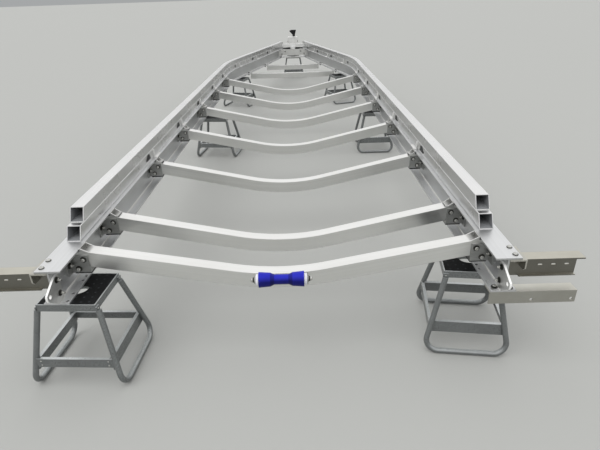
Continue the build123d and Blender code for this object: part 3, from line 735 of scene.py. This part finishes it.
# %% Start from a primitive
def disc(radius, low, high, vertices=24):
    """A cylinder along Z from one height to another, in millimetres."""
    clear()
    bpy.ops.mesh.primitive_cylinder_add(
        vertices=vertices, radius=radius * MM, depth=(high - low) * MM,
        location=(0, 0, (low + high) / 2 * MM))
    return bpy.context.object


def block(low, high):
    """A box between two corners, in millimetres."""
    clear()
    bpy.ops.mesh.primitive_cube_add(size=1)
    made = bpy.context.object
    for vertex in made.data.vertices:
        for axis in range(3):
            vertex.co[axis] = (high if vertex.co[axis] > 0 else low)[axis] * MM
    return made


print("pieces so far", len(bpy.data.meshes))


# %% Finish, join and copy
def finished(piece, material, bevel, angle=30):
    """Rounds the edges, applies the place and smooths what is nearly flat."""
    clear()
    piece.select_set(True)
    bpy.context.view_layer.objects.active = piece
    bpy.ops.object.transform_apply(location=True, rotation=True, scale=True)
    rounding = piece.modifiers.new("rounding", "BEVEL")
    rounding.width = bevel * MM
    rounding.segments = 2
    rounding.limit_method = "ANGLE"
    bpy.ops.object.modifier_apply(modifier="rounding")
    bpy.ops.object.shade_smooth_by_angle(angle=math.radians(angle))
    piece.data.materials.clear()
    piece.data.materials.append(material)
    return piece


def join(pieces, name):
    """One object from several."""
    clear()
    for piece in pieces:
        piece.select_set(True)
    bpy.context.view_layer.objects.active = pieces[0]
    bpy.ops.object.join()
    pieces[0].name = name
    return pieces[0]


def copies(model, places, name):
    """Copies a model to each place, a matrix, joins the copies and sets them on the frame."""
    made = []
    for place in places:
        copy = model.copy()
        copy.data = model.data.copy()
        copy.data.transform(place)
        if place.determinant() < 0:
            copy.data.flip_normals()
        bpy.context.scene.collection.objects.link(copy)
        made.append(copy)
    piece = join(made, name)
    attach(piece, "root")
    print(name, len(places), "copies,", len(piece.data.polygons), "faces")


MIRROR = Matrix.Scale(-1, 4, (1, 0, 0))
print("mirror", MIRROR.determinant())

# %% [markdown]
# ## Bolts
# A hexagon bolt is a six-sided prism whose outer corners are turned off, on a washer. The end with
# the nut shows a short stub of thread. We model each once, at the origin, pointing up.

# %% Hexagon bolt and nut
HEX_RADIUS = 9.8
WASHER_RADIUS, WASHER_TOP = 13.5, 2.4
STUB_RADIUS = 5.6


def washer(radius, top, material, bevel):
    """A flat ring under a head or nut; its hole is hidden, so it is a plain disc, rounded."""
    return finished(disc(radius, 0.0, top, 28), material, bevel)


def shade_sides(piece):
    """Keeps the bright top of a head or nut and gives its sides a dark finish as painted shade."""
    piece.data.materials.append(shade_zinc)
    for face in piece.data.polygons:
        face.material_index = int(abs(face.normal.z) < 0.5)
    return piece


# Hex washers and the sides of heads and nuts are dark as painted shade.
ring = washer(WASHER_RADIUS, WASHER_TOP, shade_zinc, 0.5)
head = crown(disc(HEX_RADIUS, WASHER_TOP, 8.6, 6), (1.9, 1.3))
hex_bolt = join([shade_sides(finished(head, bolt_metal, 0.4)), ring], "hex_bolt")

ring = washer(WASHER_RADIUS, WASHER_TOP, shade_zinc, 0.5)
nut = crown(disc(HEX_RADIUS, WASHER_TOP, 11.0, 6), (2.6, 1.2))
stub = crown(disc(STUB_RADIUS, 8.0, 19.0, 16), (1.2, 1.0))
nut = shade_sides(finished(nut, bolt_metal, 0.4))
hex_nut = join([nut, ring, finished(stub, bolt_metal, 0.3)], "hex_nut")
print("bolt models", hex_bolt.dimensions, hex_nut.dimensions)

# %% Domed bolt
ring = washer(11.5, 1.8, washer_metal, 0.4)
dome = crown(disc(9.5, 1.8, 4.2, 24), (1.2, 1.7), (2.2, 1.5), (2.6, 0.8))
dome_bolt = join([finished(dome, bolt_metal, 0.3, 50), ring], "dome_bolt")
print("domed bolt", dome_bolt.dimensions)

# %% [markdown]
# ## Where the bolts go
# Two domed bolts hold each lamp-arm bracket under the top flange. Two bolts go through each
# tie-down plate, with their nuts on the inside. The right lower outrigger hangs from two more.

# %% Bolts at the rear
BRACKET_BOLT_X, BRACKET_BOLTS_Y = 941, (29, 88)
TIE_BOLT_Y, TIE_BOLTS_Z = 25, (-54, -116)
OUTRIGGER_BOLTS = ((879, 26), (937, 17))
BRACKET_UNDER, FLANGE_TOP, OUTRIGGER_UNDER = -14, -150, -163
SIDES = (-1, 1)


def aimed(point, direction, angle):
    """The place of a model that stands at a point, looks along a direction and is turned."""
    aim = Vector(direction).to_track_quat("Z", "Y").to_matrix().to_4x4()
    return Matrix.Translation(point) @ aim @ Matrix.Rotation(math.radians(angle), 4, "Z")


copies(dome_bolt, [aimed(spot(side * BRACKET_BOLT_X, y, 0), (0, 0, 1), 12 * side)
                   for side in SIDES for y in BRACKET_BOLTS_Y], "bracket_bolts")
copies(hex_nut, [aimed(spot(side * BRACKET_BOLT_X, y, BRACKET_UNDER), (0, 0, -1), 20)
                 for side in SIDES for y in BRACKET_BOLTS_Y], "bracket_nuts")

places = [aimed(spot(side * WEB_OUTSIDE, TIE_BOLT_Y, z), (side, 0, 0), 14)
          for side in SIDES for z in TIE_BOLTS_Z]
places += [aimed(spot(x, y, FLANGE_TOP), (0, 0, 1), 25) for x, y in OUTRIGGER_BOLTS]
copies(hex_bolt, places, "rear_bolts")
places = [aimed(spot(side * PLATE_FACE, TIE_BOLT_Y, z), (-side, 0, 0), 8)
          for side in SIDES for z in TIE_BOLTS_Z]
places += [aimed(spot(x, y, OUTRIGGER_UNDER), (0, 0, -1), 5) for x, y in OUTRIGGER_BOLTS]
copies(hex_nut, places, "rear_nuts")

# %% [markdown]
# Each cross member is clamped in a saddle: one bolt through each ear into the beam's web, with its
# nut inside, and two through each cheek into the member.

# %% Bolts at the saddles
MEMBER_FACES = [170, 533, 1368, 2207, 3047, 3886, 4750]
BAR_DEPTH = 62
EAR_OFFSET, EAR_Z = 21, -64
CHEEK_OFFSET = 5
CHEEK_BOLTS = ((840, -44), (868, -88))

ears = [(side, near, y) for side in SIDES for near in MEMBER_FACES
        for y in (near - EAR_OFFSET, near + BAR_DEPTH + EAR_OFFSET)]
copies(hex_nut, [aimed(spot(side * SADDLE_FACE, y, EAR_Z), (-side, 0, 0), near % 60)
                 for side, near, y in ears], "saddle_nuts")
cheeks = [(side, near, y, facing) for side in SIDES for near in MEMBER_FACES
          for y, facing in ((near - CHEEK_OFFSET, -1), (near + BAR_DEPTH + CHEEK_OFFSET, 1))]
copies(hex_bolt, [aimed(spot(side * x, y, z), (0, facing, 0), (near + x) % 60)
                  for side, near, y, facing in cheeks for x, z in CHEEK_BOLTS],
       "saddle_bolts")
copies(hex_bolt, [aimed(spot(side * WEB_OUTSIDE, y, EAR_Z), (side, 0, 0), near % 50)
                  for side, near, y in ears], "saddle_bolt_heads")

# %% [markdown]
# Cross members 8 and 9 hang under the converging arms on two bolts a side.

# %% Bolts at the front cross members
FRONT_MEMBER_FACES = (6155, 7055)
BOLT_INSET, BOLT_SPREAD, HANGER_UNDER = 24, 17, -168

heads, nuts = [], []
for near in FRONT_MEMBER_FACES:
    middle = near + BAR_DEPTH / 2
    x = WEB - (middle - BEND) * BEND_SLOPE - BOLT_INSET
    for side in SIDES:
        for y in (middle - BOLT_SPREAD, middle + BOLT_SPREAD):
            heads.append(aimed(spot(side * x, y, FLANGE_TOP), (0, 0, 1), 10))
            nuts.append(aimed(spot(side * x, y, HANGER_UNDER), (0, 0, -1), 25))
copies(hex_bolt, heads, "front_member_bolts")
copies(hex_nut, nuts, "front_member_nuts")

# %% [markdown]
# ## Clips beside the tubes
# Small clips hold the lower tubes down on the flange: each has a foot on the flange's narrow
# ledge, an upright rib against the tube, and a thin grey packer beside it. The foot's top is
# inset and raised, the rib is extruded with a lean, and the packer tapers like a wedge.

# %% Clip and packer
foot = block((-21, 0, 0), (0, 105, 5))
choose(foot, lambda face: face.normal.z > 0.9)
bpy.ops.mesh.inset(thickness=1.5 * MM)
bpy.ops.transform.translate(value=(0, 0, 1.0 * MM))
rib = block((-9, 0, 5), (0, 6, 30))
choose(rib, lambda face: face.normal.z > 0.9)
bpy.ops.mesh.extrude_region_move(TRANSFORM_OT_translate={"value": (1.5 * MM, 2 * MM, 26 * MM)})
clip = join([finished(foot, clip_painted_highlight, 0.8), finished(rib, clip_painted_highlight, 0.8)], "clip")
packer = block((-4, -160, 22), (0, -75, 26))
choose(packer, lambda face: face.normal.z > 0.9)
bpy.ops.mesh.extrude_region_move(TRANSFORM_OT_translate={"value": (0, 15 * MM, 28 * MM)})
bpy.ops.transform.resize(value=(1.0, 0.3, 1.0))
packer = finished(packer, grey_rubber, 0.8)
print("clip", clip.dimensions, "packer", packer.dimensions)

# %% [markdown]
# The places follow the inner face of the lower tubes, round the bend as well. The right-hand model
# is mirrored on the left. Past the bend the packers sit 95 mm further back than on the straight.

# %% Set the clips along both tubes
STRAIGHT_CLIPS = (1425, 2265, 3105, 3945, 4785)
FRONT_CLIPS = (5771, 6609, 7433)
SET_BACK = 95


def beside_tube(side, y):
    """The place on the inner face of a lower tube at a distance from the rear end."""
    turn = BEND_ANGLE if y > BEND else 0.0
    face = WEB - max(0, y - BEND) * BEND_SLOPE - TUBE / 2 / math.cos(turn)
    place = Matrix.Translation(spot(face, y, 0)) @ Matrix.Rotation(turn, 4, "Z")
    return MIRROR @ place if side < 0 else place


copies(clip, [beside_tube(side, y) for y in STRAIGHT_CLIPS + FRONT_CLIPS for side in SIDES],
       "tube_clips")
packers = STRAIGHT_CLIPS + tuple(y - SET_BACK for y in FRONT_CLIPS)
copies(packer, [beside_tube(side, y) for y in packers for side in SIDES],
       "tube_packers")

# %% [markdown]
# ## Nose
# Two black rubber blocks stand between the beams' tops and the head tube, on either side of the
# drawbar. They are painted shade, which makes the slots there dark. Small bolts hold the closing
# plate.

# %% Shade blocks and bolts of the nose
SLOT_SHADE_X, SLOT_SHADE_Y = 48, 8095
CLOSING_PLATE_Y, CLOSING_PLATE_BOLTS = 8070, ((150, -40), (215, -88))
# Each black block is painted shade in a slot.
slot_shade = block((0, 0, 0), (145, 40, 31))
choose(slot_shade, lambda face: face.normal.x > 0.9)
bpy.ops.transform.resize(value=(1.0, 1.0, 0.55))
slot_shade = finished(slot_shade, rubber, 2.0)
print("slot_shade", slot_shade.dimensions)
copies(slot_shade, [Matrix.Translation(spot(-SLOT_SHADE_X, SLOT_SHADE_Y, 0)) @ MIRROR,
             Matrix.Translation(spot(SLOT_SHADE_X, SLOT_SHADE_Y, 0))], "nose_slot_shade_blocks")
copies(hex_bolt, [aimed(spot(side * x, CLOSING_PLATE_Y, z), (0, -1, 0), 10)
                  for side in SIDES for x, z in CLOSING_PLATE_BOLTS],
       "nose_bolts")

# %% [markdown]
# ## Coupling details
# The photograph shows the coupling only as a pale block with a dark handle, so its small parts come
# from its type: a rubber gaiter keeps dirt off the sliding tube, and bolts hold the housing. The
# gaiter is one disc whose end face is extruded and scaled again and again, wide and narrow in turn.

# %% Gaiter
RIDGE, VALLEY = 37, 29
GAITER_STEPS, GAITER_PITCH = 14, 9
GAITER_START = spot(0, 8706, 54)
clear()
bpy.ops.mesh.primitive_cylinder_add(vertices=32, radius=RIDGE * MM, depth=6 * MM)
gaiter = bpy.context.object
for step in range(GAITER_STEPS):
    choose(gaiter, lambda face: face.normal.z > 0.9)
    bpy.ops.mesh.extrude_region_move(
        TRANSFORM_OT_translate={"value": (0, 0, GAITER_PITCH * MM)})
    size = VALLEY / RIDGE if step % 2 == 0 else RIDGE / VALLEY
    bpy.ops.transform.resize(value=(size, size, 1.0))
gaiter = finished(gaiter, rubber, 1.5, 40)
tilt = Matrix.Rotation(math.radians(-90), 4, "X")
gaiter.data.transform(Matrix.Translation(GAITER_START) @ tilt)
gaiter.name = "coupling_gaiter"
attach(gaiter, "root")
print("gaiter", gaiter.dimensions)

# %% Coupling bolts
COUPLING_ROWS = (8440, 8600)
COUPLING_BOLTS = ((95, 0, 105, 12), (55, -15, 54, 25))
copies(hex_bolt, [aimed(spot(side * x, y + back, z), (side, 0, 0), angle)
                  for side in SIDES for y in COUPLING_ROWS for x, back, z, angle in COUPLING_BOLTS],
       "coupling_bolts")

# %% [markdown]
# ## Keel roller
# The roller turns on a pin. A bright dome nut closes each end of the pin, over a dark washer.
# The washer and the sides of the nut's hexagon are painted shade.

# %% Roller nuts
PIN_CENTRE, PIN_END = 7, 114.5
PIN_Y, PIN_Z = 110, -137
ring = washer(15.0, 2.0, shade_zinc, 0.4)
cap = shade_sides(finished(disc(11.5, 2.0, 8.0, 6), bolt_metal, 0.5))
dome = crown(disc(10.2, 8.0, 9.5, 20), (0.7, 3.2), (1.6, 2.6), (2.3, 1.6))
dome_nut = join([cap, ring, finished(dome, bolt_metal, 0.2, 50)], "dome_nut")
copies(dome_nut, [aimed(spot(PIN_CENTRE + side * PIN_END, PIN_Y, PIN_Z), (side, 0, 0), 15)
                  for side in SIDES], "roller_nuts")

# %% [markdown]
# ## Rivets of the stools
# Small domed rivets fix the tubes' flattened ends to the tray and the ends of the braces. Each
# stool stands at its own place and angle, so the rivets are set in the stool's own axes first.

# %% Rivets
STOOLS = [(-867, 118, -3), (854, 277, 82), (-759, 3277, -7), (871, 3307, 90),
          (-812, 5725, -16), (727, 5749, 107), (0, 8360, 0)]
WALL_RIVET = (130.5, 112, 374)
BRACE_RIVET, BRACE_HEIGHTS = (146, 170), (119, 140)

rivet = crown(disc(3.6, 0.0, 0.8, 12), (0.8, 1.0), (1.2, 0.5))
rivet = finished(rivet, bolt_metal, 0.2, 50)
places = []
for stool_x, stool_y, angle in STOOLS:
    stool = Matrix.Translation((stool_x * MM, REAR + stool_y * MM, 0))
    stool = stool @ Matrix.Rotation(math.radians(angle), 4, "Z")
    for side in SIDES:
        for end in SIDES:
            wall = Vector((side * WALL_RIVET[0], end * WALL_RIVET[1], WALL_RIVET[2])) * MM
            places.append(stool @ aimed(wall, (side, 0, 0), 0))
            for height in BRACE_HEIGHTS:
                brace = Vector((end * BRACE_RIVET[0], side * BRACE_RIVET[1], height)) * MM
                places.append(stool @ aimed(brace, (0, side, 0), 0))
copies(rivet, places, "stool_rivets")

# %% [markdown]
# ## Tidy up and finish
# The single models have done their work, so they go.

# %% Remove the single models
for model in (hex_bolt, hex_nut, dome_bolt, clip, packer, slot_shade, dome_nut, rivet):
    bpy.data.objects.remove(model)
